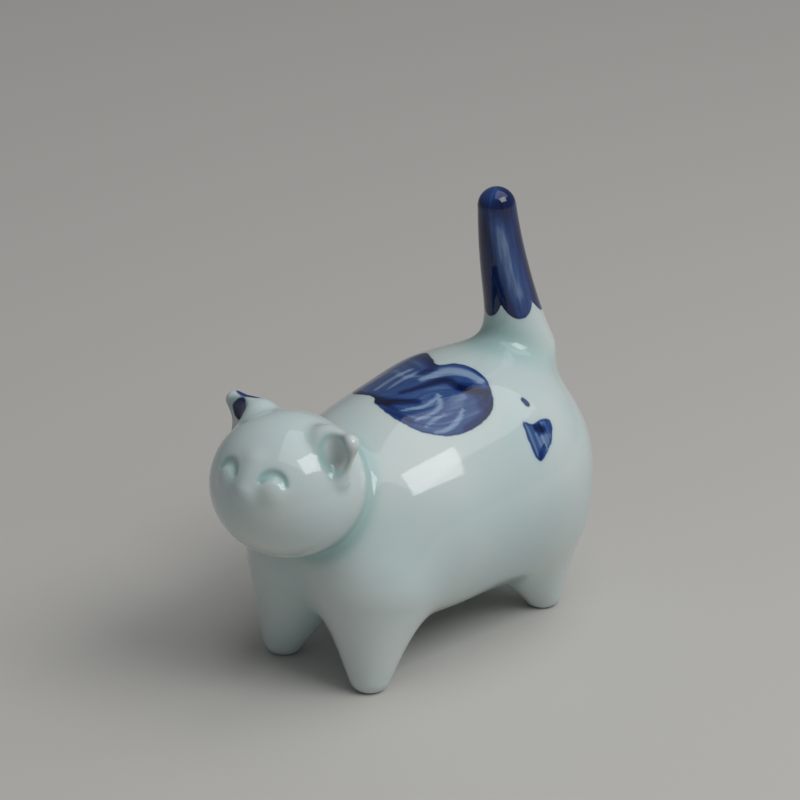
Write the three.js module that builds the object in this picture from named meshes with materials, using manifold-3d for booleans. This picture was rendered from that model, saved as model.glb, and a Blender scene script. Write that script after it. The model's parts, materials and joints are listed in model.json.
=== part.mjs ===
// A small hollow porcelain cat that stands on four stub legs with its tail held up.
// Millimetres, +Z up. The cat faces -Y and its left side is +X.
// The origin is on the resting plane, under the middle of the figurine.
//
// The figurine is made as a potter makes it: a cast torso and a cast head, with the ears,
// the tail and the legs shaped by hand and luted on. Each luted seam is a gap of its own width.

import * as THREE from 'three';
import { mergeVertices } from 'three/addons/utils/BufferGeometryUtils.js';
import Module from 'manifold-3d';

const wasm = await Module();
wasm.setup();

// Seams and walls
const seam = 0.3;               // thickness of the slip in a luted joint
const torsoWall = 3;
const headWall = 2.4;

// Torso, a barrel lying along Y, narrower at the chest than at the rump
const torsoLength = 50.4;
const chestWidth = 30.2;
const chestHeight = 28.8;
const rumpWidth = 33.6;
const rumpHeight = 31.8;
const bellyClearance = 5.7;     // from the resting plane to the belly
const torsoFullness = 2.9;      // 2 is an egg, more is a fuller barrel
const drainDiameter = 3.2;      // lets the slip out, and the air in the kiln

// Head
const headWidth = 20.6;
const headDepth = 21.2;
const headHeight = 19.6;
const headRise = 9.9;           // head centre above the chest centre
const headReach = 2.2;          // head centre ahead of the chest's front end
const headPitch = 13;           // degrees, nose up
const headYaw = 3;              // degrees, towards the cat's left
const neckVentDiameter = 3;     // joins the two hollows

// Ears
const earWidth = 6.6;
const earLength = 6.4;
const earThickness = 2.6;
const earHollowDepth = 1;
const earBearing = 44;          // degrees above the head's side, where an ear is seated
const earLean = 27;             // degrees above level, where its tip points

// Tail
const tailRise = 23.4;           // from the top of the rump to the tip
const tailLean = 5;             // how far the tip leans forward of the root
const tailRootDiameter = 9.6;
const tailTipDiameter = 5.1;
const tailInset = 6.8;          // root centre ahead of the torso's back end
const tailDepth = 7.5;          // how far down the root is buried before it is trimmed

// Legs
const toeDiameter = 6;
const thighDiameter = 13.6;
const thighHeight = 13;         // resting plane to the thickest part of a leg
const legHeight = 19.4;
const footPadDiameter = 3.8;    // flat, bare of glaze
const toeTrack = 16.4;          // across, between the two toes of a pair
const hipTrack = 12.8;
const frontToeInset = 4.6;      // toe centre behind the torso's front end
const rearToeInset = 10.4;      // toe centre ahead of the torso's back end
const legRake = 2.6;            // how far the hips stand inside the toes along Y

const glazeColour = 0xdde8e4;
const paintedColour = 0x3c5fa0;

// ---- geometry helpers

function material(colour) {
  return new THREE.MeshStandardMaterial({ color: colour, roughness: 0.12, metalness: 0 });
}

function solidOf(geometry) {
  const bare = geometry.clone();
  bare.deleteAttribute('normal');
  bare.deleteAttribute('uv');
  const merged = mergeVertices(bare, 1e-4);
  return new wasm.Manifold(new wasm.Mesh({
    numProp: 3,
    vertProperties: new Float32Array(merged.attributes.position.array),
    triVerts: new Uint32Array(merged.index.array),
  }));
}

function meshOf(name, solid, colour) {
  const { vertProperties, triVerts } = solid.getMesh();
  const geometry = new THREE.BufferGeometry();
  geometry.setAttribute('position', new THREE.BufferAttribute(new Float32Array(vertProperties), 3));
  geometry.setIndex(new THREE.BufferAttribute(new Uint32Array(triVerts), 1));
  geometry.computeVertexNormals();
  const mesh = new THREE.Mesh(geometry, material(colour));
  mesh.name = name;
  return mesh;
}

function moveVertices(geometry, move) {
  const position = geometry.attributes.position;
  const point = new THREE.Vector3();
  for (let i = 0; i < position.count; i++) {
    point.fromBufferAttribute(position, i);
    move(point);
    position.setXYZ(i, point.x, point.y, point.z);
  }
  return geometry;
}

function rodBetween(start, end, diameter) {
  const along = new THREE.Vector3().subVectors(end, start);
  const rod = new THREE.CylinderGeometry(diameter / 2, diameter / 2, along.length(), 16);
  const turn = new THREE.Quaternion().setFromUnitVectors(
    new THREE.Vector3(0, 1, 0), along.clone().normalize());
  rod.applyQuaternion(turn);
  rod.translate(...start.clone().lerp(end, 0.5).toArray());
  return solidOf(rod);
}

// ---- torso

const torsoFront = -torsoLength / 2;
const torsoBack = torsoLength / 2;
const chestCentre = new THREE.Vector3(0, torsoFront + chestHeight / 2, bellyClearance + chestHeight / 2);
const rumpCentre = new THREE.Vector3(0, torsoBack - rumpHeight / 2, bellyClearance + rumpHeight / 2);
const rumpTop = bellyClearance + rumpHeight;

// The torso's skin, moved out by an offset. A negative offset gives the inside of a wall.
function torsoForm(offset, around = 36, along = 24) {
  const form = new THREE.SphereGeometry(1, around, along);
  return solidOf(moveVertices(form, (p) => {
    const share = THREE.MathUtils.smoothstep(p.y, -0.6, 0.5);
    const girth = Math.max(1 - Math.abs(p.y) ** torsoFullness, 0) ** (1 / torsoFullness);
    const ring = Math.hypot(p.x, p.z);
    const spread = ring > 1e-6 ? girth / ring : 0;
    const halfWidth = THREE.MathUtils.lerp(chestWidth, rumpWidth, share) / 2 + offset;
    const halfHeight = THREE.MathUtils.lerp(chestHeight, rumpHeight, share) / 2 + offset;
    const centre = THREE.MathUtils.lerp(chestCentre.z, rumpCentre.z, share);
    p.set(p.x * spread * halfWidth, p.y * (torsoLength / 2 + offset), centre + p.z * spread * halfHeight);
  }));
}

function drainHole() {
  const inside = new THREE.Vector3(0, 0, bellyClearance + chestHeight / 2);
  const outside = new THREE.Vector3(0, 0, bellyClearance - torsoWall);
  return rodBetween(inside, outside, drainDiameter);
}

function neckVent() {
  return rodBetween(headCentre, chestCentre, neckVentDiameter);
}

function torsoShell() {
  const hollow = torsoForm(-torsoWall, 28, 18);
  return torsoForm(0).subtract(hollow).subtract(drainHole()).subtract(neckVent());
}

// ---- head

const headCentre = new THREE.Vector3(0, torsoFront - headReach, chestCentre.z + headRise);

function headForm(offset, around = 30, along = 20) {
  const form = new THREE.SphereGeometry(1, around, along);
  form.scale(headWidth / 2 + offset, headDepth / 2 + offset, headHeight / 2 + offset);
  form.rotateX(-THREE.MathUtils.degToRad(headPitch));
  form.rotateZ(THREE.MathUtils.degToRad(headYaw));
  form.translate(...headCentre.toArray());
  return solidOf(form);
}

function headShell() {
  const outside = headForm(0).subtract(torsoForm(seam));
  const hollow = headForm(-headWall, 22, 14).subtract(torsoForm(seam + headWall));
  return outside.subtract(hollow).subtract(neckVent());
}

// ---- ears

// A rounded flap in the XY plane: its base on the X axis, its tip at earLength along Y.
function earOutline() {
  const half = earWidth / 2;
  const outline = new THREE.Shape();
  outline.moveTo(-half, 0);
  outline.quadraticCurveTo(-half * 0.9, earLength * 0.8, -half * 0.2, earLength * 0.97);
  outline.quadraticCurveTo(0, earLength * 1.02, half * 0.2, earLength * 0.97);
  outline.quadraticCurveTo(half * 0.9, earLength * 0.8, half, 0);
  outline.lineTo(-half, 0);
  return outline;
}

function earFlap() {
  const round = earThickness * 0.34;
  const flap = new THREE.ExtrudeGeometry(earOutline(), {
    depth: earThickness - 2 * round,
    bevelThickness: round,
    bevelSize: round,
    bevelOffset: -round,
    bevelSegments: 3,
    curveSegments: 6,
  });
  flap.translate(0, 0, round - earThickness / 2);
  const scoop = new THREE.SphereGeometry(1, 20, 14);
  scoop.scale(earWidth * 0.27, earLength * 0.32, earHollowDepth);
  scoop.translate(0, earLength * 0.52, earThickness / 2);
  return solidOf(flap).subtract(solidOf(scoop));
}

// side is 1 for the cat's left ear and -1 for its right ear
function ear(side) {
  const bearing = THREE.MathUtils.degToRad(earBearing);
  const lean = THREE.MathUtils.degToRad(earLean);
  const tip = new THREE.Vector3(side * Math.cos(lean), 0, Math.sin(lean));
  const face = new THREE.Vector3(0, -1, 0);
  const across = new THREE.Vector3().crossVectors(tip, face);
  const buried = headWall * 0.9;
  const seat = new THREE.Vector3(
    side * Math.cos(bearing) * (headWidth / 2 - buried), 0, Math.sin(bearing) * (headHeight / 2 - buried));
  const place = new THREE.Matrix4().makeBasis(across, tip, face).setPosition(seat);
  const turn = new THREE.Matrix4().makeRotationZ(THREE.MathUtils.degToRad(headYaw));
  place.premultiply(turn).premultiply(new THREE.Matrix4().makeTranslation(headCentre));
  return earFlap().transform(place.toArray()).subtract(headForm(seam));
}

// ---- tail

const tailRoot = new THREE.Vector3(0, torsoBack - tailInset, rumpTop - tailDepth);

// A tapered round bar with a rounded tip, bent along a curve in the YZ plane.
function tail() {
  const tipRadius = tailTipDiameter / 2;
  const rootRadius = tailRootDiameter / 2;
  const tip = new THREE.Vector3(0, tailRoot.y - tailLean, rumpTop + tailRise - tipRadius);
  const bend = new THREE.Vector3(0, tailRoot.y, THREE.MathUtils.lerp(tailRoot.z, tip.z, 0.5));
  const path = new THREE.QuadraticBezierCurve3(tailRoot, bend, tip);
  const length = path.getLength();

  const profile = [new THREE.Vector2(0, 0)];
  const steps = 10;
  for (let i = 0; i <= steps; i++) {
    const share = i / steps;
    const flare = (1 - share) ** 1.5;
    profile.push(new THREE.Vector2(THREE.MathUtils.lerp(tipRadius, rootRadius, flare), share * length));
  }
  const capSteps = 5;
  for (let i = 1; i <= capSteps; i++) {
    const angle = (i / capSteps) * Math.PI / 2;
    const radius = i < capSteps ? tipRadius * Math.cos(angle) : 0;
    profile.push(new THREE.Vector2(radius, length + tipRadius * Math.sin(angle)));
  }

  const bar = new THREE.LatheGeometry(profile, 20);
  const side = new THREE.Vector3(1, 0, 0);
  return solidOf(moveVertices(bar, (p) => {
    const share = Math.min(p.y / length, 1);
    const along = path.getTangentAt(share);
    const normal = new THREE.Vector3().crossVectors(along, side);
    const beyond = Math.max(p.y - length, 0);
    const { x, z } = p;
    p.copy(path.getPointAt(share)).addScaledVector(side, x).addScaledVector(normal, -z);
    p.addScaledVector(along, beyond);
  })).subtract(torsoForm(seam));
}

// ---- legs

// A stub leg that stands on a flat pad, swells to the thigh and closes inside the torso.
// side is 1 for the cat's left and -1 for its right; end is -1 for the front and 1 for the rear.
function leg(side, end) {
  const pad = footPadDiameter / 2;
  const toe = toeDiameter / 2;
  const thigh = thighDiameter / 2;
  const outline = new THREE.SplineCurve([
    new THREE.Vector2(pad, 0),
    new THREE.Vector2(toe * 0.97, toe * 0.45),
    new THREE.Vector2(toe * 1.12, toe),
    new THREE.Vector2((toe + thigh) * 0.5, thighHeight * 0.56),
    new THREE.Vector2(thigh, thighHeight),
    new THREE.Vector2(thigh * 0.7, (thighHeight + legHeight) * 0.52),
    new THREE.Vector2(0.8, legHeight),
  ]).getPoints(13);
  const profile = [new THREE.Vector2(0, 0), ...outline, new THREE.Vector2(0, legHeight)];
  const stub = new THREE.LatheGeometry(profile, 20);
  stub.rotateX(Math.PI / 2);

  const toeY = end < 0 ? torsoFront + frontToeInset : torsoBack - rearToeInset;
  const leaned = moveVertices(stub, (p) => {
    const share = p.z / thighHeight;
    p.x += side * THREE.MathUtils.lerp(toeTrack, hipTrack, share) / 2;
    p.y += toeY - end * legRake * share;
  });
  return solidOf(leaned).subtract(torsoForm(seam));
}

// ---- the figurine

const figurine = new THREE.Group();
figurine.add(
  meshOf('torso_shell', torsoShell(), glazeColour),
  meshOf('head_shell', headShell(), glazeColour),
  meshOf('left_ear', ear(1), glazeColour),
  meshOf('right_ear', ear(-1), paintedColour),
  meshOf('tail', tail(), paintedColour),
  meshOf('front_left_leg', leg(1, -1), glazeColour),
  meshOf('front_right_leg', leg(-1, -1), glazeColour),
  meshOf('hind_left_leg', leg(1, 1), glazeColour),
  meshOf('hind_right_leg', leg(-1, 1), glazeColour),
);

const bounds = new THREE.Box3().setFromObject(figurine);
figurine.position.set(
  -(bounds.min.x + bounds.max.x) / 2, -(bounds.min.y + bounds.max.y) / 2, -bounds.min.z);

export default figurine;
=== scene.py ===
import json
import math

import bpy
import numpy as np
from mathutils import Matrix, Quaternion, Vector


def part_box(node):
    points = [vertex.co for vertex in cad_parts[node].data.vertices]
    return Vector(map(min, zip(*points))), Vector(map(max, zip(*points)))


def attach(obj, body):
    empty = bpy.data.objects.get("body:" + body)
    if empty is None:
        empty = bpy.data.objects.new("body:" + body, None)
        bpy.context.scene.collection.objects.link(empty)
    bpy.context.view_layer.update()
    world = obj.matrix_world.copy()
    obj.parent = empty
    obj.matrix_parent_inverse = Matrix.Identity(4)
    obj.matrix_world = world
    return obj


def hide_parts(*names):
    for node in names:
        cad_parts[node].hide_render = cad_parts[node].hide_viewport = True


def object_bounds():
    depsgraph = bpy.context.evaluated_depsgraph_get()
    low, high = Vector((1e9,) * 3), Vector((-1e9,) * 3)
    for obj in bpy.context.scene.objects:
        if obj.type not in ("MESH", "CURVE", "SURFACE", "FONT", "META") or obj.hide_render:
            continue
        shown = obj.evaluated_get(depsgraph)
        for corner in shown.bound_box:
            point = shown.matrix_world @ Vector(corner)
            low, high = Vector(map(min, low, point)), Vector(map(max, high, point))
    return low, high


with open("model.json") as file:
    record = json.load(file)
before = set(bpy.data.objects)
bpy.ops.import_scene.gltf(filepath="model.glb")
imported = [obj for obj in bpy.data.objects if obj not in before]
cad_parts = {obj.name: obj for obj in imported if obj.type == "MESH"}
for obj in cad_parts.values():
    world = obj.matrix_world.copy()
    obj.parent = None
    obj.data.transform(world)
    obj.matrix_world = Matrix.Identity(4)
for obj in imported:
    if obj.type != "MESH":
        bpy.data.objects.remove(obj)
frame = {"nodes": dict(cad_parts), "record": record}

# A small hollow porcelain cat under a pale celadon glaze, with cobalt brushwork.
# It faces -Y and its left side is +X. Shapes are worked out in millimetres and built in metres.

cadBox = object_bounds()
mm = 0.001
print("frame loaded:", len(frame["nodes"]), "nodes")


def cornersOf(node):
    low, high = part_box(node)
    return np.array(low) / mm, np.array(high) / mm


def footOf(leg):
    pads = {m["name"]: m["pos_m"] for m in frame["record"]["mounts"]}
    return np.array(pads[leg.replace("_leg", "_foot")]) / mm


# Soft joins and plain solids, as distance fields that are negative inside.
farInside = -9.0  # a field's value where a cut doesn't reach


def softMin(a, b, reach):  # reach is how many millimetres of clay fill the seam
    width = 6 * reach
    h = np.maximum(width - np.abs(a - b), 0) / width
    return np.minimum(a, b) - h ** 3 * width / 6


def softMax(a, b, reach):
    return -softMin(-a, -b, reach)


def turned(yaw, pitch):  # columns are the turned left, back and up directions; a positive pitch lifts the nose
    y, p = math.radians(yaw), math.radians(-pitch)
    aroundZ = np.array([[math.cos(y), -math.sin(y), 0], [math.sin(y), math.cos(y), 0], [0, 0, 1]])
    aroundX = np.array([[1, 0, 0], [0, math.cos(p), -math.sin(p)], [0, math.sin(p), math.cos(p)]])
    return aroundZ @ aroundX


def ovalField(p, centre, radii, axes=None):
    q = p - centre
    if axes is not None:
        q = q @ axes
    near = np.sqrt(((q / radii) ** 2).sum(-1))
    slope = np.sqrt(((q / (radii * radii)) ** 2).sum(-1))
    return near * (near - 1) / np.maximum(slope, 1e-9)


def coneField(p, a, b, radiusA, radiusB):  # a round-ended cone between two balls
    ab = b - a
    length = math.sqrt(ab @ ab)
    lean = (radiusA - radiusB) / length
    q = p - a
    along = q @ ab / length
    across = np.sqrt(np.maximum((q ** 2).sum(-1) - along ** 2, 0))
    share = np.clip((along - across * lean / math.sqrt(1 - lean * lean)) / length, 0, 1)
    return np.hypot(across, along - share * length) - (radiusA + (radiusB - radiusA) * share)


# The torso is two ovals, chest and rump, run together.
torsoSizes = {
    "chestLength": 31.4, "chestWidth": 30.1, "chestHeight": 28.7,
    "rumpLength": 30.4, "rumpHeight": 31.7, "waistFill": 4.0,
    "wall": 3.0, "drain": 3.2, "drainDepth": 6, "drainSoft": 0.25, "padSoft": 0.08, "neckVent": 3.0,
}


def torsoPlaces():
    s = torsoSizes
    low, high = cornersOf("torso_shell")
    chestRadii = np.array([s["chestWidth"], s["chestLength"], s["chestHeight"]]) / 2
    rumpRadii = np.array([high[0] - low[0], s["rumpLength"], s["rumpHeight"]]) / 2
    chest = np.array([0, low[1] + chestRadii[1], low[2] + chestRadii[2]])
    rump = np.array([0, high[1] - rumpRadii[1], low[2] + rumpRadii[2]])
    drain = np.array([0, (low[1] + high[1]) / 2, low[2]])
    return chest, chestRadii, rump, rumpRadii, drain


chest, chestRadii, rump, rumpRadii, drain = torsoPlaces()


def torsoField(p):
    front = ovalField(p, chest, chestRadii)
    back = ovalField(p, rump, rumpRadii)
    return softMin(front, back, torsoSizes["waistFill"])


# Each leg is a round cone from a ball in the hip to a ball in the toe; hips are given from the foot.
legSizes = {
    "toe": 6.0, "toeHeight": 2.35, "frontThigh": 15.8, "hindThigh": 14.8,
    "frontHip": (-1.75, 2.6, 15.0), "hindHip": (-1.3, -2.3, 14.0), "fill": 1.2,
}


def legField(p, foot, front):
    s = legSizes
    side = 1 if foot[0] > 0 else -1
    reach = s["frontHip"] if front else s["hindHip"]
    hip = foot + np.array([side * reach[0], reach[1], reach[2]])
    toe = foot + np.array([0, 0, s["toeHeight"]])
    return coneField(p, hip, toe, (s["frontThigh"] if front else s["hindThigh"]) / 2, s["toe"] / 2)


# The tail is a tapered bar along a curve.
tailSizes = {"root": 8.6, "tip": 5.3, "rootBack": 25.4, "rootHeight": 36.4, "bendBack": 20.9, "bendHeight": 48.2,
             "tipBack": 19.7, "fill": 1.5, "steps": 14}


def tailBend(t):  # the middle of the tail, from its root at 0 to its tip at 1
    s = tailSizes
    a = np.array([0, s["rootBack"], s["rootHeight"]])
    b = np.array([0, s["bendBack"], s["bendHeight"]])
    c = np.array([0, s["tipBack"], cornersOf("tail")[1][2] - s["tip"] / 2])
    return (1 - t) ** 2 * a + 2 * t * (1 - t) * b + t * t * c


tailLine = tailBend(np.linspace(0, 1, tailSizes["steps"] + 1)[:, None])


def tailReach(p):  # distance to the tail's middle, and the share of its length there
    nearest = np.full(p.shape[:-1], 1e9)
    share = np.zeros(p.shape[:-1])
    for i in range(tailSizes["steps"]):
        a, b = tailLine[i], tailLine[i + 1]
        t = np.clip((p - a) @ (b - a) / ((b - a) @ (b - a)), 0, 1)
        away = np.sqrt(((p - a - t[..., None] * (b - a)) ** 2).sum(-1))
        closer = away < nearest
        nearest = np.where(closer, away, nearest)
        share = np.where(closer, (i + t) / tailSizes["steps"], share)
    return nearest, share


def tailField(p):
    chord = tailLine[-1] - tailLine[0]
    share = np.clip((p - tailLine[0]) @ chord / (chord @ chord), 0, 1)
    return tailReach(p)[0] - (tailSizes["root"] + (tailSizes["tip"] - tailSizes["root"]) * share) / 2


# The head is a wide oval with a soft muzzle and two closed, smiling eyes.
headSizes = {
    "width": 20.6, "depth": 20.9, "height": 19.5, "yaw": 3, "pitch": 13, "neckFill": 0.5, "wall": 2.4,
    "faceTurn": 8, "eyeAzimuth": 20.5, "eyeElevation": 18.5, "lidRadius": 1.75, "lidHalfAngle": 66,
    "lidWidth": 1.05, "lidEnd": 0.3, "lidDepth": 0.34, "lidSoft": 0.18, "lidReach": 3,
    "eyeBall": 1.9, "eyeDrop": 1.9, "eyeProud": 0.1, "eyeFill": 0.3,
    "noseElevation": 2, "browElevation": 24, "noseRadius": 1.6, "browTaper": 0.8,
    "noseProud": 0.65, "browProud": 0.2, "noseFill": 0.4,
}


def headPlaces():
    s = headSizes
    low, high = cornersOf("head_shell")
    radii = np.array([s["width"], s["depth"], s["height"]]) / 2
    centre = np.array([0, low[1] + radii[1], (low[2] + high[2]) / 2])
    return centre, radii, turned(s["yaw"], s["pitch"])


headCentre, headRadii, headAxes = headPlaces()


def headSpot(azimuth, elevation, proud=0.0):  # a point on the head; azimuth runs from the nose to the cat's left
    a, e = math.radians(azimuth), math.radians(elevation)
    out = np.array([math.sin(a) * math.cos(e), -math.cos(a) * math.cos(e), math.sin(e)])
    reach = 1 / math.sqrt(((out / headRadii) ** 2).sum())
    return headCentre + headAxes @ (out * (reach + proud))


def headBall(p):
    return ovalField(p, headCentre, headRadii, headAxes)


def faceField(p):
    s = headSizes
    nose = headSpot(s["faceTurn"], s["noseElevation"], s["noseProud"] - s["noseRadius"])
    brow = headSpot(s["faceTurn"], s["browElevation"], s["browProud"] - s["noseRadius"])
    ridge = coneField(p, nose, brow, s["noseRadius"], s["noseRadius"] * s["browTaper"])
    field = softMin(headBall(p), ridge, s["noseFill"])
    for side in (1, -1):
        lid = headSpot(s["faceTurn"] + side * s["eyeAzimuth"], s["eyeElevation"])
        out = (lid - headCentre) / np.linalg.norm(lid - headCentre)
        across = np.cross(headAxes[:, 2], out)
        across = across / np.linalg.norm(across)
        up = np.cross(out, across)
        q = np.stack([(p - lid) @ across, (p - lid) @ up, (p - lid) @ out], -1)
        ball = np.array([0, -s["eyeDrop"], s["eyeProud"] - s["eyeBall"]])
        field = softMin(field, np.sqrt(((q - ball) ** 2).sum(-1)) - s["eyeBall"], s["eyeFill"])
        high = q[..., 1] + s["lidRadius"]
        angle = np.abs(np.arctan2(q[..., 0], high))
        limit = math.radians(s["lidHalfAngle"])
        past = np.maximum(angle - limit, 0) * s["lidRadius"]
        taper = 1 - (np.minimum(angle, limit) / limit) ** 2 * (1 - s["lidEnd"])
        radius = s["lidWidth"] / 2 * taper
        deep = field - radius + s["lidDepth"] * taper
        groove = np.sqrt((np.hypot(q[..., 0], high) - s["lidRadius"]) ** 2 + past ** 2 + deep ** 2) - radius
        inFront = q[..., 2] > -s["lidReach"]
        field = softMax(field, np.where(inFront, -groove, farInside), s["lidSoft"])
    return field


# The ears are soft cones leaning out of the head, each thumbed hollow in front.
earSizes = {"root": 6.0, "tip": 2.1, "tipBack": 0.9, "out": 4.35, "back": -0.3, "up": 1.8, "fill": 0.3,
            "lobeTurn": 87, "lobeRise": 19, "lobe": 2.3, "lobeSink": 0.4, "web": 0.25,
            "cupAlong": 3.2, "cupRise": -0.6, "cupLong": 5.2, "cupWide": 3.1, "cupDeep": 1.2, "cupSoft": 0.35}


def earPlace(side):  # the ear's root and tip, and its outward, upward and forward directions
    s = earSizes
    low, high = cornersOf("left_ear" if side > 0 else "right_ear")
    tip = np.array([high[0] if side > 0 else low[0], headCentre[1] + s["tipBack"], high[2]])
    tip = tip - np.array([side * s["tip"], 0, s["tip"] * 0.8]) / 2
    root = tip - np.array([side * s["out"], s["back"], s["up"]])
    outward = (tip - root) / np.linalg.norm(tip - root)
    forward = np.array([0.0, -1.0, 0.0])
    forward = forward - (forward @ outward) * outward
    forward = forward / np.linalg.norm(forward)
    upward = np.array([0, 0, 1.0]) - outward[2] * outward - forward[2] * forward
    upward = upward / np.linalg.norm(upward)
    return root, tip, np.stack([outward, upward, forward], 1)


earPlaces = {1: earPlace(1), -1: earPlace(-1)}


def earField(p, side):  # the cone, and a rim that runs from its tip down to the cheek
    s = earSizes
    root, tip, axes = earPlaces[side]
    cone = coneField(p, root, tip, s["root"] / 2, s["tip"] / 2)
    lobe = headSpot(side * s["lobeTurn"] - headSizes["yaw"], s["lobeRise"], -s["lobeSink"])
    return softMin(cone, coneField(p, tip, lobe, s["tip"] / 2, s["lobe"] / 2), s["web"])


def earCup(p, side):
    s = earSizes
    root, tip, axes = earPlaces[side]
    share = s["cupAlong"] / np.linalg.norm(tip - root)
    front = (s["root"] + (s["tip"] - s["root"]) * share) / 2
    q = (p - root) @ axes - np.array([s["cupAlong"], s["cupRise"], front])
    return ovalField(q, np.zeros(3), np.array([s["cupWide"], s["cupLong"], 2 * s["cupDeep"]]) / 2)


# The whole cat, and where one piece ends and the next begins.
feet = {leg: footOf(leg) for leg in ("front_left_leg", "front_right_leg", "hind_left_leg", "hind_right_leg")}
attached = {"head_shell": "torso_shell", "left_ear": "head_shell", "right_ear": "head_shell", "tail": "torso_shell",
            **{leg: "torso_shell" for leg in feet}}
bite = 1.2  # how deep a luted piece sits in the wall it joins
legClear = 1.5  # how far a leg's seam stays from the head's
lap = 0.2  # the slip in a seam, which the luted piece carries, so that no gap shows


def formsAt(p):  # each piece's own field, before the seams are filled
    forms = {"torso_shell": torsoField(p), "head_shell": headBall(p), "tail": tailField(p),
             "left_ear": earField(p, 1), "right_ear": earField(p, -1)}
    for leg, foot in feet.items():
        forms[leg] = legField(p, foot, leg.startswith("front"))
    return forms


def skinAt(p, forms):  # the one smooth outside of the fired cat
    skin = forms["torso_shell"]
    for leg in feet:
        skin = softMin(skin, forms[leg], legSizes["fill"])
    skin = softMin(skin, forms["tail"], tailSizes["fill"])
    head = faceField(p)
    for ear in ("left_ear", "right_ear"):
        head = softMin(head, forms[ear], earSizes["fill"])
    for side in (1, -1):
        head = softMax(head, -earCup(p, side), earSizes["cupSoft"])
    skin = softMin(skin, head, headSizes["neckFill"])
    bore = np.hypot(p[..., 0] - drain[0], p[..., 1] - drain[1]) - torsoSizes["drain"] / 2
    bore = np.where(p[..., 2] < drain[2] + torsoSizes["drainDepth"], -bore, farInside)
    skin = softMax(skin, bore, torsoSizes["drainSoft"])
    return softMax(skin, -p[..., 2], torsoSizes["padSoft"])


def outside(p):
    return skinAt(p, formsAt(p))


def jointAt(name, forms):  # negative where a luted piece has the clay
    rivals = []
    for other in forms:
        if other != name and attached.get(other) != name:
            gives = legClear if name in feet and other == "head_shell" else 0
            takes = legClear if name == "head_shell" and other in feet else 0
            rivals.append(forms[other] - gives + takes)
    return np.maximum(forms[name] - np.minimum.reduce(rivals), -forms[attached[name]] - bite)


def hollowAt(name, p, forms):  # negative in the hollow of a cast piece
    vent = coneField(p, headCentre, chest, torsoSizes["neckVent"] / 2, torsoSizes["neckVent"] / 2)
    if name == "torso_shell":
        inside = forms["torso_shell"] + torsoSizes["wall"]
    else:
        inside = np.maximum(forms["head_shell"] + headSizes["wall"], -forms["torso_shell"] + headSizes["wall"] - bite)
    return np.minimum(inside, vent)


def limitsAt(name, p):  # the fields of the skin, of the piece's seams, and of the piece itself
    forms = formsAt(p)
    skin = skinAt(p, forms)
    parts = [jointAt(name, forms) - lap] if name in attached else []
    parts += [-jointAt(child, forms) for child in attached if attached[child] == name]
    seam = np.maximum.reduce(parts)
    solid = np.maximum(skin, seam)
    if name in ("torso_shell", "head_shell"):
        solid = np.maximum(solid, -hollowAt(name, p, forms))
    return skin, seam, solid


# From field to mesh: one grid for each piece, coarser where the piece is larger and smoother.
gridSteps = {"torso_shell": 0.4, "head_shell": 0.25, "left_ear": 0.2, "right_ear": 0.2, "tail": 0.28, "leg": 0.34}


def stepOf(name):
    return gridSteps.get(name, gridSteps["leg"]) * 1


def slopeOf(field, p, d=0.01):
    steps = np.array([[1, -1, -1], [-1, 1, -1], [-1, -1, 1], [1, 1, 1]]) * d
    slope = np.zeros(p.shape)
    for step in steps:
        slope += field(p + step)[:, None] * step
    return slope / (4 * d * d)


def settle(p, field, rounds=3, most=0.3):  # walks points onto the zero of a field
    for _ in range(rounds):
        slope = slopeOf(field, p)
        move = field(p)[:, None] * slope / np.maximum((slope ** 2).sum(-1), 1e-6)[:, None]
        length = np.linalg.norm(move, axis=1, keepdims=True)
        p = p - move * np.minimum(1, most / np.maximum(length, 1e-9))
    return p


def countInside(value):
    inside = (value < 0).astype(np.int8)
    return sum(inside[i:inside.shape[0] - 1 + i, j:inside.shape[1] - 1 + j, k:inside.shape[2] - 1 + k]
               for i in (0, 1) for j in (0, 1) for k in (0, 1))


def fillDiagonals(value, rounds=6, fill=-0.01):  # where two parts of a piece would touch along one edge only
    for _ in range(rounds):
        inside = value < 0
        found = 0
        for axis in range(3):
            across, up = [d for d in range(3) if d != axis]
            corners = []
            for i, j in ((0, 0), (1, 0), (1, 1), (0, 1)):
                part = [slice(None)] * 3
                part[across] = slice(i, value.shape[across] - 1 + i)
                part[up] = slice(j, value.shape[up] - 1 + j)
                corners.append(tuple(part))
            a, b, c, d = (inside[corner] for corner in corners)
            touching = (a == c) & (b == d) & (a != b)
            for corner in corners:
                value[corner] = np.where(touching, np.minimum(value[corner], fill), value[corner])
            found += touching.sum()
        if not found:
            break
    return value


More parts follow.
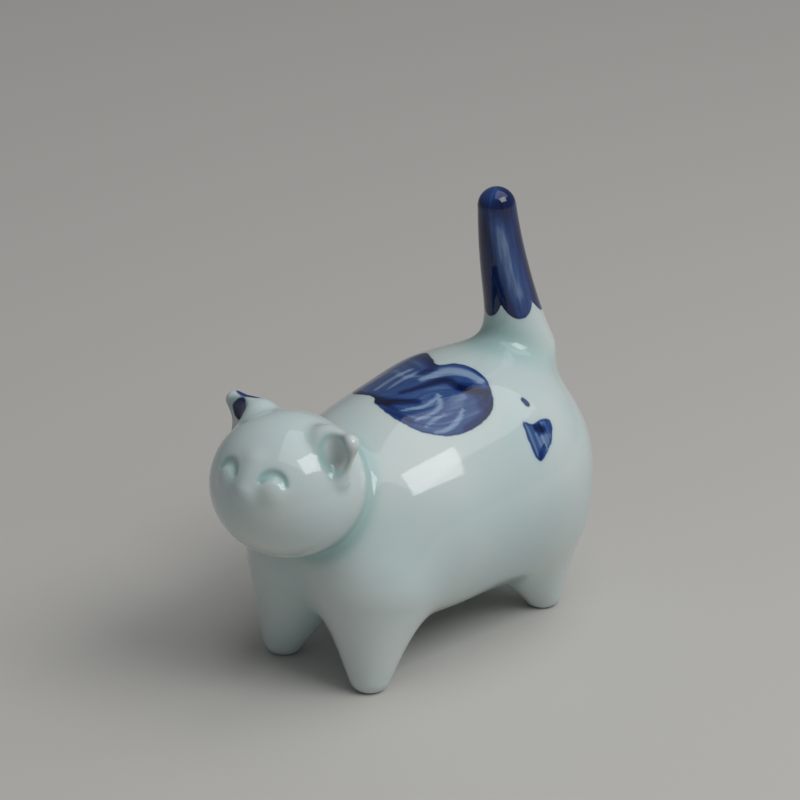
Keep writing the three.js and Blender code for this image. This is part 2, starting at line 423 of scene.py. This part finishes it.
def wrap(value):  # one point in each grid cell that the surface crosses, one face across each crossed edge
    count = countInside(value)
    crossed = (count > 0) & (count < 8)
    number = np.full(crossed.shape, -1)
    number[crossed] = np.arange(crossed.sum())
    cells = np.argwhere(crossed)
    corners = np.array([(i, j, k) for i in (0, 1) for j in (0, 1) for k in (0, 1)])
    values = np.stack([value[tuple((cells + c).T)] for c in corners], 1)
    total, hits = np.zeros(cells.shape), np.zeros(len(cells))
    for a in range(8):
        for b in range(a + 1, 8):
            if np.abs(corners[a] - corners[b]).sum() == 1:
                cut = (values[:, a] < 0) != (values[:, b] < 0)
                share = np.where(cut, values[:, a] / np.where(cut, values[:, a] - values[:, b], 1), 0)
                total += np.where(cut[:, None], corners[a] + share[:, None] * (corners[b] - corners[a]), 0)
                hits += cut
    points = cells + total / hits[:, None]
    faces = []
    inside = value < 0
    for axis in range(3):
        side, rise = (axis + 1) % 3, (axis + 2) % 3
        one = np.eye(3, dtype=int)
        low = inside[tuple(slice(0, -1) if d == axis else slice(1, -1) for d in range(3))]
        high = inside[tuple(slice(1, None) if d == axis else slice(1, -1) for d in range(3))]
        edges = np.argwhere(low != high)
        base = edges + one[side] + one[rise]
        ring = [base - one[side] - one[rise], base - one[rise], base, base - one[side]]
        quad = np.stack([number[tuple(c.T)] for c in ring], 1)
        outward = low[tuple(edges.T)]
        faces.append(np.where(outward[:, None], quad, quad[:, ::-1]))
    return cells, points, np.concatenate(faces)


def relax(points, faces, fixed, field, rounds, pull=0.6):  # evens the faces out without leaving the surface
    for _ in range(rounds):
        total = np.zeros(points.shape)
        count = np.zeros(len(points))
        for i in range(4):
            a, b = faces[:, i], faces[:, (i + 1) % 4]
            for m, n in ((a, b), (b, a)):
                for d in range(3):
                    total[:, d] += np.bincount(m, points[n, d], len(points))
                count += np.bincount(m, minlength=len(points))
        middle = total / np.maximum(count, 1)[:, None]
        points = np.where(fixed[:, None], points, points + pull * (middle - points))
        points = np.where(fixed[:, None], points, settle(points, field, 1))
    return points


def reachOf(name, step=1.2, margin=10):  # the box that a piece fills, found on a coarse grid
    low, high = cornersOf(name)
    axes = [np.arange(low[d] - margin, high[d] + margin, step) for d in range(3)]
    grid = np.stack(np.meshgrid(*axes, indexing="ij"), -1)
    filled = grid[limitsAt(name, grid)[2] < 0]
    return filled.min(0) - 2 * step, filled.max(0) + 2 * step


def valuesOn(name, axes, step, coarse=4, batch=200000):  # the limits on a fine grid, exact only near the surface
    shape = tuple(len(axis) for axis in axes)
    rough = [axis[::coarse] for axis in axes]
    grid = np.stack(np.meshgrid(*rough, indexing="ij"), -1).reshape(-1, 3)
    near = np.stack(limitsAt(name, grid), 0).reshape(3, *(len(axis) for axis in rough))
    spots = [np.minimum((np.arange(n) + coarse // 2) // coarse, near.shape[d + 1] - 1) for d, n in enumerate(shape)]
    values = near[np.ix_(range(3), *spots)]
    todo = np.argwhere(np.abs(values[2]) < 1.8 * coarse * step)  # a little over a coarse cell's diagonal
    for start in range(0, len(todo), batch):
        part = todo[start:start + batch]
        spot = np.stack([axes[d][part[:, d]] for d in range(3)], 1)
        values[(slice(None), *part.T)] = np.stack(limitsAt(name, spot), 0)
    return values


def clayMesh(name):
    low, high = reachOf(name)
    step = stepOf(name)
    start = np.floor(low / step).astype(int)
    stop = np.ceil(high / step).astype(int)
    axes = [np.arange(start[d], stop[d] + 1) * step for d in range(3)]
    skin, seam, solid = valuesOn(name, axes, step)
    cells, points, faces = wrap(fillDiagonals(solid))
    both = np.ones(len(cells), bool)
    for value in (skin, seam):
        count = countInside(value)[tuple(cells.T)]
        both &= (count > 0) & (count < 8)
    points = (points + start) * step
    middle = (cells + start + 0.5) * step
    points[both] = middle[both]
    onSkin, onSeam, onSolid = (lambda p, which=which: limitsAt(name, p)[which] for which in range(3))
    rim = points[both]
    for _ in range(6):  # the rim of a seam lies on both surfaces
        rim = settle(settle(rim, onSeam, 1), onSkin, 1)
    points[both] = rim
    points[~both] = settle(points[~both], onSolid, 2)
    return relax(points, faces, both, onSolid, 3), faces


# How the glaze lies, with painted shade in its creases, and the cobalt brushwork under it, as values on the points.
glazeSizes = {"near": 0.7, "far": 2.2, "rim": 0.9, "nearShare": 1.5, "farShare": 0.25, "rimShare": 1.5,
              "padHeight": 0.12, "skinClose": 0.08}


def addAttribute(mesh, name, values):
    kind = "FLOAT_VECTOR" if values.ndim == 2 else "FLOAT"
    layer = mesh.attributes.new(name, kind, "POINT")
    layer.data.foreach_set("vector" if values.ndim == 2 else "value", values.astype(np.float32).ravel())


def addGlazeDepthAndShade(mesh, points, slope):  # glaze runs off rims and gathers in creases; the crease value is also painted shade, darkening hollows and the spaces between parts
    s = glazeSizes
    # near and far measure how closely the skin is hemmed in: gathered glaze, and painted shade in hollows and between
    # parts
    near = 1 - outside(points + slope * s["near"]) / s["near"]
    far = 1 - outside(points + slope * s["far"]) / s["far"]
    rim = 1 + outside(points - slope * s["rim"]) / s["rim"]
    addAttribute(mesh, "poolingAndShade", np.clip(s["nearShare"] * near + s["farShare"] * far, 0, 1))
    addAttribute(mesh, "thinned", np.clip(s["rimShare"] * rim, 0, 1))


def smoothLine(points, closed, steps=6):  # an even curve through the given points
    p = np.array(points, float)
    before, after = (p[-1:], p[:2]) if closed else (2 * p[:1] - p[1:2], 2 * p[-1:] - p[-2:-1])
    p = np.concatenate([before, p, after])
    t = np.linspace(0, 1, steps, endpoint=False)[:, None]
    line = []
    for a, b, c, d in zip(p, p[1:], p[2:], p[3:]):
        line.append(b + t / 2 * (c - a + t * (2 * a - 5 * b + 4 * c - d + t * (3 * b - 3 * c + d - a))))
    return np.concatenate(line + ([] if closed else [p[-2:-1]]))


def awayFrom(q, line, closed=False):  # distance to a line, and how far along it the nearest point is
    nearest, along, run = np.full(len(q), 1e9), np.zeros(len(q)), 0.0
    ends = np.concatenate([line[1:], line[:1]]) if closed else line[1:]
    for a, b in zip(line, ends):
        length = np.linalg.norm(b - a) + 1e-9
        t = np.clip((q - a) @ (b - a) / length ** 2, 0, 1)
        away = np.linalg.norm(q - a - t[:, None] * (b - a), axis=1)
        along = np.where(away < nearest, run + t * length, along)
        nearest = np.minimum(nearest, away)
        run += length
    return nearest, along / run


def insideBy(q, ring):  # how far inside a closed outline each point is, negative outside
    inside = np.zeros(len(q), bool)
    for a, b in zip(ring, np.concatenate([ring[1:], ring[:1]])):
        crosses = (a[1] > q[:, 1]) != (b[1] > q[:, 1])
        inside ^= crosses & (q[:, 0] < a[0] + (q[:, 1] - a[1]) * (b[0] - a[0]) / (b[1] - a[1] + 1e-9))
    away = awayFrom(q, ring, closed=True)[0]
    return np.where(inside, away, -away)


markReach = 5  # how far from a mark's edge its distance is kept


def smoothStep(low, high, value):
    t = np.clip((value - low) / (high - low), 0, 1)
    return t * t * (3 - 2 * t)


# The body's marks are drawn on the back unrolled: millimetres along it, and around it from the spine to the left.
bodyMarks = {
    "unrollHeight": 21.0, "unrollRadius": 16.0,
    "patch": [(-0.7, -8.7), (5.0, -12.0), (10.0, -10.5), (12.2, -6.4), (10.2, -3.0), (8.8, -0.7), (10.5, 1.0),
              (11.3, 4.2), (10.3, 7.4), (7.1, 10.8), (0.7, 11.3), (-3.2, 8.6), (-4.4, 3.8), (-3.5, -1.0),
              (-2.2, -2.8)],
    "vein": [(-0.7, -8.7), (-2.3, -4.3), (-2.4, -0.4), (-0.4, 3.3), (3.5, 4.2), (7.5, 6.4), (10.0, 7.6)],
    "patchWash": 0.4,
    "strokes": [  # points, half width, added load
        ([(-0.7, -8.7), (-2.2, -4.3), (-2.6, -0.8), (-1.2, 1.8), (0.2, 3.4)], 1.1, 0.55),
        ([(-2.6, -0.4), (-3.4, 2.5), (-3.2, 6.0)], 0.8, 0.3),
        ([(4.5, -11.5), (10.3, -8.8), (10.6, -5.2), (8.0, -1.0), (6.2, -1.2)], 1.3, 0.4),
        ([(0.5, 0.2), (2.7, 1.2), (4.8, 1.9), (6.6, 2.9), (6.6, 4.9), (7.8, 6.6), (9.2, 7.6)], 0.75, 0.45),
        ([(7.0, 4.9), (8.2, 7.6), (7.0, 9.2)], 1.4, 0.35),
        ([(9.9, 7.4), (7.0, 10.4), (2.5, 11.0)], 0.9, 0.25),
        ([(-0.2, -4.2), (3.6, -4.3), (6.4, -3.4)], 0.6, -0.35),
        ([(0.4, -2.4), (3.9, -2.3), (6.8, -1.6)], 0.5, -0.3),
        ([(4.6, 0.2), (8.0, 1.4), (9.6, 3.5), (10.0, 5.8)], 1.0, -0.4),
        ([(-2.6, 3.4), (0.2, 4.8), (3.2, 4.6)], 0.4, -0.35),
        ([(-2.4, 6.2), (0.3, 6.6), (2.2, 6.0), (3.4, 4.2)], 0.45, -0.35),
        ([(-2.4, 8.0), (-0.6, 7.7), (1.4, 7.6)], 0.35, -0.3),
        ([(-2.0, 9.6), (0.2, 9.9), (2.4, 9.4), (4.2, 8.3)], 0.45, -0.3),
        ([(1.6, 7.6), (4.0, 7.2), (6.0, 6.6)], 0.9, -0.15),
    ],
    "dot": ([(13.3, 10.9), (13.4, 11.5)], 0.5, 0.7),
    "leaf": [(10.9, 13.5), (12.3, 14.1), (14.0, 14.0), (15.6, 14.5), (15.2, 16.0), (13.3, 17.8), (10.9, 18.9),
             (10.3, 16.6)],
    "leafWash": 0.22,
    "leafStrokes": [([(12.6, 14.8), (13.5, 15.3)], 0.9, 0.75), ([(14.9, 14.6), (14.6, 15.8)], 0.8, 0.2),
                    ([(12.6, 17.3), (11.0, 18.6)], 0.5, 0.4)],
}


def brushLoads(q, strokes, load):  # each stroke adds or lifts cobalt, and thins out towards its ends
    for points, width, more in strokes:
        away, share = awayFrom(q, smoothLine(points, False))
        body = width * (0.55 + 0.45 * np.sin(math.pi * np.clip(share, 0.06, 0.94)))
        load = load + more * (1 - smoothStep(0.3, 1.35, away / body))
    return load


def bodyBrushwork(p):  # the back's patch, and the dot and the leaf on the left flank
    s = bodyMarks
    around = np.arctan2(p[:, 0], p[:, 2] - s["unrollHeight"]) * s["unrollRadius"]
    q = np.stack([p[:, 1], around], 1)
    patch = insideBy(q, smoothLine(s["patch"], True))
    leaf = insideBy(q, smoothLine(s["leaf"], True))
    points, width, dotLoad = s["dot"]
    dot = width - awayFrom(q, smoothLine(points, False))[0]
    load = brushLoads(q, s["strokes"], np.full(len(p), s["patchWash"]))
    load = np.where(leaf > -1, brushLoads(q, s["leafStrokes"], np.full(len(p), s["leafWash"])), load)
    load = np.where(dot > -1, dotLoad, load)
    fromVein = awayFrom(q, smoothLine(s["vein"], False))[0]
    across = 7 * fromVein / (fromVein + np.maximum(patch, 0) + 0.5)
    flow = np.stack([np.where(leaf > -1, q[:, 0], across), (q[:, 0] + q[:, 1]) / 2, np.zeros(len(q))], 1)
    top = p[:, 2] > s["unrollHeight"]
    edge = np.where(top | (leaf > -1), np.maximum.reduce([patch, leaf, dot]), -markReach)
    return np.clip(edge, -markReach, markReach), np.clip(load, 0, 1), flow


tailMarks = {
    "lobes": 5, "firstLobe": 24, "edgeHeight": 44.6, "lobeDrop": 2.6, "lobeRound": 0.6,
    "load": 0.85, "paleFade": 0.62, "paleTurn": 36, "paleTwist": 2.4, "paleWide": 20,  # turns are degrees from the front
    "secondFade": 0.3, "secondTurn": 25, "crownFade": 0.35, "crownTurn": 150,
}


def stripe(turn, middle, wide):
    return np.exp(-(((turn - middle + 180) % 360 - 180) / wide) ** 2)


def tailBrushwork(p):  # dipped blue to a scalloped edge, with two paler streaks that wind down it and a pale crown
    s = tailMarks
    centre = tailBend(tailReach(p)[1][:, None])
    turn = np.degrees(np.arctan2(p[:, 0] - centre[:, 0], centre[:, 1] - p[:, 1]))
    lobe = ((turn - s["firstLobe"]) * s["lobes"] / 360) % 1
    edge = p[:, 2] - s["edgeHeight"] + s["lobeDrop"] * np.sin(math.pi * lobe) ** s["lobeRound"]
    height, top = p[:, 2], tailLine[-1][2]
    paleTurn = s["paleTurn"] + s["paleTwist"] * (top - height)
    pale = stripe(turn, paleTurn, s["paleWide"]) * smoothStep(top + 1.5, top - 3, height)
    pale = pale * (1 - 0.5 * smoothStep(4, 1, edge))
    second = stripe(turn, paleTurn + s["secondTurn"], s["paleWide"]) * smoothStep(top, top - 5, height)
    crown = smoothStep(0.4, 0.95, (height - top) / 3 - 0.35 * np.cos(np.radians(turn - s["crownTurn"])))
    # the blue is made paler along two streaks towards the front and the cat's left, and over the crown towards the
    # front and its right
    load = s["load"] - s["paleFade"] * pale - s["secondFade"] * second - s["crownFade"] * crown
    flow = np.stack([np.sin(np.radians(turn)) * 3, height, np.cos(np.radians(turn)) * 10], 1)
    return np.clip(edge, -markReach, markReach), np.clip(load, 0, 1), flow


earMarks = {"spot": (3.1, -0.1), "spotLong": 3.6, "spotWide": 2.6, "spotLoad": 0.78,
            "dab": [(4.6, 0.9, -0.5), (2.2, 2.3, -0.8)], "dabWide": 0.75, "dabLoad": 0.6}


def earBrushwork(p):  # an oval inside the right ear and a dab along its top edge
    s = earMarks
    root, tip, axes = earPlaces[-1]
    q = (p - root) @ axes
    away = np.hypot((q[:, 0] - s["spot"][0]) / s["spotWide"], (q[:, 1] - s["spot"][1]) / s["spotLong"]) * 2
    spot = np.where(q[:, 2] > -0.2, (1 - away) * s["spotWide"] / 2, -markReach)  # on the ear's front only
    dab = s["dabWide"] - awayFrom(q, np.array(s["dab"]))[0]
    load = np.where(spot > dab, s["spotLoad"], s["dabLoad"])
    flow = np.stack([q[:, 1], q[:, 0], q[:, 2] * 0.2], 1)
    return np.clip(np.maximum(spot, dab), -markReach, markReach), load, flow


brushwork = {"torso_shell": bodyBrushwork, "tail": tailBrushwork, "right_ear": earBrushwork}


def buildPiece(name):  # glazed faces take their shading from the skin; seams and hollows are flat and bare
    points, faces = clayMesh(name)
    mesh = bpy.data.meshes.new(name + "_glazed")
    mesh.from_pydata((points * mm).tolist(), [], faces.tolist())
    slope = slopeOf(outside, points)
    slope /= np.linalg.norm(slope, axis=1, keepdims=True)
    a, b, c, d = (points[faces[:, i]] for i in range(4))
    flat = np.cross(c - a, d - b)
    flat /= np.maximum(np.linalg.norm(flat, axis=1, keepdims=True), 1e-12)
    facing = (flat * slope[faces].mean(1)).sum(-1)
    close = glazeSizes["skinClose"]
    outer = (np.abs(outside((a + b + c + d) / 4)) < close) & (facing > 0.5)
    outer |= (np.abs(outside(points)) < close)[faces].all(1)
    wiped = (points[faces, 2] < glazeSizes["padHeight"]).all(1)  # the feet are wiped clean of glaze
    mesh.polygons.foreach_set("material_index", np.where(outer & ~wiped, 0, 1))
    mesh.polygons.foreach_set("use_smooth", np.ones(len(faces), bool))
    shading = np.where(outer[:, None, None], slope[faces], flat[:, None, :])
    mesh.normals_split_custom_set(shading.reshape(-1, 3).tolist())
    addGlazeDepthAndShade(mesh, points, slope)
    if name in brushwork:
        edge, load, flow = brushwork[name](points)
        addAttribute(mesh, "brushEdge", edge)
        addAttribute(mesh, "brushLoad", load)
        addAttribute(mesh, "brushFlow", flow)
    piece = bpy.data.objects.new(name + "_glazed", mesh)
    bpy.context.scene.collection.objects.link(piece)
    print("built", piece.name, len(faces), "faces")
    return piece


def linear(hexColour):
    channels = [int(hexColour[i:i + 2], 16) / 255 for i in (1, 3, 5)]
    return [c / 12.92 if c <= 0.04045 else ((c + 0.055) / 1.055) ** 2.4 for c in channels] + [1.0]


def addNode(tree, kind, inputs, output=0, **settings):  # an input is a number, a colour or another node's socket
    node = tree.nodes.new(kind)
    for key, value in settings.items():
        setattr(node, key, value)
    for key, value in inputs.items():
        if isinstance(value, bpy.types.NodeSocket):
            tree.links.new(value, node.inputs[key])
        else:
            node.inputs[key].default_value = value
    return node.outputs[output]


def newMaterial(name):
    material = bpy.data.materials.new(name)
    material.use_nodes = True
    return material, material.node_tree, material.node_tree.nodes["Principled BSDF"]


smooth = {"interpolation_type": "SMOOTHSTEP"}
blend = {"data_type": "RGBA"}  # a colour Mix node has its share at 0, its colours at 6 and 7, and its result at 2
perMetre = 1000  # object coordinates are metres, and patterns are given in millimetres

# Celadon-glazed porcelain, slip-cast, dipped and fired in reduction. The glaze is a thick bluish glass:
# it lets the white body through where it ran thin on rims, turns sea green where it gathered in creases,
# and its top is glossy and very slightly wavy, with a few pinholes and iron specks. The cobalt lies under it.
# The sea green of the creases is partly real gathered glaze and partly painted shade in hollows and between parts.
# The specks and pinholes are drawn a little coarser than real ones, so that they show.
glazeLook = {
    # the crease colour is partly gathered glaze and partly painted shade
    "body": "#cad9da", "drift": "#d3dddb", "thin": "#e6e4df", "poolingAndShade": "#8cbbb9", "speck": "#6d6256",
    "driftEvery": 14, "thinMost": 0.85, "poolingAndShadeMost": 0.7, "speckEvery": 6.5, "speckShare": 0.5,
    "ior": 1.52, "glossiest": 0.05, "dullest": 0.09, "sheenEvery": 0.9,
    "waveEvery": 9, "waveHeight": 0.05, "peelEvery": 1.6, "peelHeight": 0.0012,
    "pinholeEvery": 4.2, "pinholeDepth": 0.015,
}


def celadonGlaze(name, painted):
    s = glazeLook
    material, tree, shader = newMaterial(name)
    place = addNode(tree, "ShaderNodeTexCoord", {}, "Object")
    poolingAndShade = addNode(tree, "ShaderNodeAttribute", {}, "Fac", attribute_name="poolingAndShade")
    thinned = addNode(tree, "ShaderNodeAttribute", {}, "Fac", attribute_name="thinned")

    drift = addNode(tree, "ShaderNodeTexNoise", {"Vector": place, "Scale": perMetre / s["driftEvery"], "Detail": 1})
    share = addNode(tree, "ShaderNodeMapRange", {"Value": drift, "From Min": 0.35, "From Max": 0.65}, **smooth)
    colour = addNode(tree, "ShaderNodeMix", {0: share, 6: linear(s["body"]), 7: linear(s["drift"])}, 2, **blend)
    share = addNode(tree, "ShaderNodeMapRange",
                    {"Value": thinned, "From Min": 0.25, "To Max": s["thinMost"]}, **smooth)
    colour = addNode(tree, "ShaderNodeMix", {0: share, 6: colour, 7: linear(s["thin"])}, 2, **blend)
    # sea green in creases: gathered glaze, and painted shade in hollows and between parts
    share = addNode(tree, "ShaderNodeMapRange",
                    {"Value": poolingAndShade, "From Min": 0.03, "From Max": 0.75, "To Max": s["poolingAndShadeMost"]}, **smooth)
    colour = addNode(tree, "ShaderNodeMix", {0: share, 6: colour, 7: linear(s["poolingAndShade"])}, 2, **blend)
    specks = addNode(tree, "ShaderNodeTexVoronoi", {"Vector": place, "Scale": perMetre / s["speckEvery"]}, "Distance")
    share = addNode(tree, "ShaderNodeMapRange", {"Value": specks, "From Min": 0.022, "From Max": 0.012}, **smooth)
    share = addNode(tree, "ShaderNodeMath", {0: share, 1: s["speckShare"]}, operation="MULTIPLY")
    colour = addNode(tree, "ShaderNodeMix", {0: share, 6: colour, 7: linear(s["speck"])}, 2, **blend)
    if painted:
        colour = addCobalt(tree, colour, place)
    tree.links.new(colour, shader.inputs["Base Color"])

    sheen = addNode(tree, "ShaderNodeTexNoise", {"Vector": place, "Scale": perMetre / s["sheenEvery"], "Detail": 3})
    roughness = addNode(tree, "ShaderNodeMapRange", {"Value": sheen, "From Min": 0.2, "From Max": 0.8,
                                                     "To Min": s["glossiest"], "To Max": s["dullest"]}, **smooth)
    tree.links.new(roughness, shader.inputs["Roughness"])
    shader.inputs["IOR"].default_value = s["ior"]

    waves = addNode(tree, "ShaderNodeTexNoise", {"Vector": place, "Scale": perMetre / s["waveEvery"], "Detail": 1})
    height = addNode(tree, "ShaderNodeMath", {0: waves, 1: s["waveHeight"]}, operation="MULTIPLY")
    peel = addNode(tree, "ShaderNodeTexNoise", {"Vector": place, "Scale": perMetre / s["peelEvery"], "Detail": 2})
    height = addNode(tree, "ShaderNodeMath", {0: peel, 1: s["peelHeight"], 2: height}, operation="MULTIPLY_ADD")
    pits = addNode(tree, "ShaderNodeTexVoronoi", {"Vector": place, "Scale": perMetre / s["pinholeEvery"]}, "Distance")
    pits = addNode(tree, "ShaderNodeMapRange", {"Value": pits, "From Min": 0.03, "From Max": 0.0}, **smooth)
    height = addNode(tree, "ShaderNodeMath", {0: pits, 1: -s["pinholeDepth"], 2: height}, operation="MULTIPLY_ADD")
    bump = addNode(tree, "ShaderNodeBump", {"Strength": 1, "Distance": mm, "Height": height})  # heights are in mm
    tree.links.new(bump, shader.inputs["Normal"])
    return material


# Cobalt oxide brushed on the raw body: bristle streaks along the stroke, a darker rim where the wash
# dried last, and a soft bleed into the glaze. The colour runs from a thin wash to a nearly black load.
cobaltLook = {
    "wash": "#88a1c2", "blue": "#33538b", "deep": "#15306c", "dark": "#080f2e", "stops": (0.02, 0.36, 0.68, 1.0),
    "bristleEvery": 0.6, "sweepEvery": 1.7, "alongStretch": 0.1, "bristleShare": 0.7, "sweepShare": 0.4,
    "raggedEvery": 1.3, "ragged": 0.36, "bleedShare": 0.16, "rimShare": 0.16,
}


def addCobalt(tree, colour, place):
    s = cobaltLook
    edge = addNode(tree, "ShaderNodeAttribute", {}, "Fac", attribute_name="brushEdge")  # mm inside the paint
    load = addNode(tree, "ShaderNodeAttribute", {}, "Fac", attribute_name="brushLoad")
    flow = addNode(tree, "ShaderNodeAttribute", {}, "Vector", attribute_name="brushFlow")  # across and along, in mm
    flow = addNode(tree, "ShaderNodeMapping", {"Vector": flow, "Scale": (1, s["alongStretch"], 0.3)})
    amount = load
    for every, detail, share in ((s["bristleEvery"], 2, s["bristleShare"]), (s["sweepEvery"], 1, s["sweepShare"])):
        streaks = addNode(tree, "ShaderNodeTexNoise", {"Vector": flow, "Scale": 1 / every, "Detail": detail})
        streaks = addNode(tree, "ShaderNodeMath", {0: streaks, 1: 0.5}, operation="SUBTRACT")
        amount = addNode(tree, "ShaderNodeMath", {0: streaks, 1: share, 2: amount}, operation="MULTIPLY_ADD")

    ragged = addNode(tree, "ShaderNodeTexNoise", {"Vector": place, "Scale": perMetre / s["raggedEvery"], "Detail": 2})
    ragged = addNode(tree, "ShaderNodeMath", {0: ragged, 1: s["ragged"], 2: -s["ragged"] / 2},
                     operation="MULTIPLY_ADD")
    edge = addNode(tree, "ShaderNodeMath", {0: edge, 1: ragged}, operation="ADD")
    cover = addNode(tree, "ShaderNodeMapRange", {"Value": edge, "From Min": -0.1, "From Max": 0.16}, **smooth)
    bleed = addNode(tree, "ShaderNodeMapRange",
                    {"Value": edge, "From Min": -0.7, "From Max": 0.1, "To Max": s["bleedShare"]}, **smooth)
    rim = addNode(tree, "ShaderNodeMapRange",
                  {"Value": edge, "From Min": 0.55, "From Max": 0.1, "To Max": s["rimShare"]}, **smooth)
    amount = addNode(tree, "ShaderNodeMath", {0: amount, 1: rim}, operation="ADD")
    blues = addNode(tree, "ShaderNodeValToRGB", {"Fac": amount}, "Color")
    stops = blues.node.color_ramp.elements
    stops[0].position, stops[1].position = s["stops"][0], s["stops"][3]
    stops[0].color, stops[1].color = linear(s["wash"]), linear(s["dark"])
    stops.new(s["stops"][1]).color = linear(s["blue"])
    stops.new(s["stops"][2]).color = linear(s["deep"])
    colour = addNode(tree, "ShaderNodeMix", {0: bleed, 6: colour, 7: linear(s["wash"])}, 2, **blend)
    return addNode(tree, "ShaderNodeMix", {0: cover, 6: colour, 7: blues}, 2, **blend)


# Bare biscuit porcelain where the glaze was wiped off: dry, chalky and slightly sandy, tanned at the glaze line.
biscuitLook = {"body": "#e9e3d8", "stain": "#cdb79c", "grit": "#a79682", "gritEvery": 0.35, "stainEvery": 2.5,
               "smoothest": 0.62, "roughest": 0.85, "gritHeight": 0.05}


def biscuitPorcelain():
    s = biscuitLook
    material, tree, shader = newMaterial("biscuitPorcelain")
    place = addNode(tree, "ShaderNodeTexCoord", {}, "Object")
    grit = addNode(tree, "ShaderNodeTexNoise", {"Vector": place, "Scale": perMetre / s["gritEvery"], "Detail": 3})
    stain = addNode(tree, "ShaderNodeTexNoise", {"Vector": place, "Scale": perMetre / s["stainEvery"], "Detail": 2})
    share = addNode(tree, "ShaderNodeMapRange", {"Value": stain, "From Min": 0.4, "From Max": 0.7}, **smooth)
    colour = addNode(tree, "ShaderNodeMix", {0: share, 6: linear(s["body"]), 7: linear(s["stain"])}, 2, **blend)
    share = addNode(tree, "ShaderNodeMapRange",
                    {"Value": grit, "From Min": 0.55, "From Max": 0.8, "To Max": 0.35}, **smooth)
    colour = addNode(tree, "ShaderNodeMix", {0: share, 6: colour, 7: linear(s["grit"])}, 2, **blend)
    tree.links.new(colour, shader.inputs["Base Color"])
    roughness = addNode(tree, "ShaderNodeMapRange", {"Value": grit, "From Min": 0.2, "From Max": 0.8,
                                                     "To Min": s["smoothest"], "To Max": s["roughest"]}, **smooth)
    tree.links.new(roughness, shader.inputs["Roughness"])
    bump = addNode(tree, "ShaderNodeBump", {"Strength": 0.5, "Distance": s["gritHeight"] * mm, "Height": grit})
    tree.links.new(bump, shader.inputs["Normal"])
    return material


plainGlaze = celadonGlaze("celadonGlazedPorcelain", painted=False)
paintedGlaze = celadonGlaze("cobaltUnderCeladonGlaze", painted=True)
bare = biscuitPorcelain()
print("materials made:", plainGlaze.name, paintedGlaze.name, bare.name)
for name in ["torso_shell", *attached]:
    piece = buildPiece(name)
    piece.data.materials.append(paintedGlaze if name in brushwork else plainGlaze)
    piece.data.materials.append(bare)
    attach(piece, "root")
    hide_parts(name)

# Floor, lights and camera.
studio = {
    "azimuth": 43.3, "elevation": 22.8, "distance": 450, "lens": 144.4, "aim": (-9.7, 10.7, -1.1),  # camera, mm
    "floor": "#c9c7c3", "floorRoughness": 0.6, "floorHalf": 2.0,  # metres from here on
    "key": {"azimuth": 101, "elevation": 48, "distance": 0.5, "size": (0.31, 0.22), "power": 0.85, "roll": -10},
    "top": {"azimuth": 120, "elevation": 68, "distance": 1.0, "size": (1.2, 1.0), "power": 4.6, "roll": 0},
    "lightAim": (0, 0, 0.03), "ambient": "#dcdfe0", "ambientStrength": 0.21, "backdropStrength": 0.62,
}


def directionFrom(azimuth, elevation):  # azimuth runs from the cat's front to its left
    a, e = math.radians(azimuth), math.radians(elevation)
    return Vector((math.sin(a) * math.cos(e), -math.cos(a) * math.cos(e), math.sin(e)))


def makeCamera():
    middle = (Vector(cadBox[0]) + Vector(cadBox[1])) / 2
    target = middle + Vector(studio["aim"]) * mm
    back = directionFrom(studio["azimuth"], studio["elevation"])
    data = bpy.data.cameras.new("studioCamera")
    data.lens = studio["lens"]
    data.clip_start = 0.01
    camera = bpy.data.objects.new("studioCamera", data)
    camera.location = target + back * studio["distance"] * mm
    camera.rotation_euler = back.to_track_quat("Z", "Y").to_euler()
    bpy.context.scene.collection.objects.link(camera)
    bpy.context.scene.camera = camera


def makeFloor():
    mesh = bpy.data.meshes.new("floor")
    half = studio["floorHalf"]
    mesh.from_pydata([(-half, -half, 0), (half, -half, 0), (half, half, 0), (-half, half, 0)], [], [(0, 1, 2, 3)])
    floor = bpy.data.objects.new("floor", mesh)
    bpy.context.scene.collection.objects.link(floor)
    material, tree, shader = newMaterial("paleFloor")
    shader.inputs["Base Color"].default_value = linear(studio["floor"])
    shader.inputs["Roughness"].default_value = studio["floorRoughness"]
    mesh.materials.append(material)


def addSoftbox(name):
    s = studio[name]
    data = bpy.data.lights.new(name + "Softbox", "AREA")
    data.shape = "RECTANGLE"
    data.size, data.size_y = s["size"]
    data.energy = s["power"]
    light = bpy.data.objects.new(name + "Softbox", data)
    back = directionFrom(s["azimuth"], s["elevation"])
    light.location = Vector(studio["lightAim"]) + back * s["distance"]
    roll = Quaternion((0, 0, 1), math.radians(s["roll"]))
    light.rotation_euler = (back.to_track_quat("Z", "Y") @ roll).to_euler()
    bpy.context.scene.collection.objects.link(light)


def makeWorld():  # a weak even light, which looks like a pale backdrop behind the floor
    world = bpy.data.worlds.new("studioWorld")
    bpy.context.scene.world = world
    world.use_nodes = True
    background = world.node_tree.nodes["Background"]
    background.inputs["Color"].default_value = linear(studio["ambient"])
    seen = addNode(world.node_tree, "ShaderNodeLightPath", {}, "Is Camera Ray")
    strength = addNode(world.node_tree, "ShaderNodeMapRange", {
        "Value": seen, "To Min": studio["ambientStrength"], "To Max": studio["backdropStrength"]})
    world.node_tree.links.new(strength, background.inputs["Strength"])


makeCamera()
makeFloor()
for name in ("key", "top"):
    addSoftbox(name)
makeWorld()
bpy.context.scene.view_settings.view_transform = "Standard"
print("studio made: camera, floor, two softboxes and a pale world")
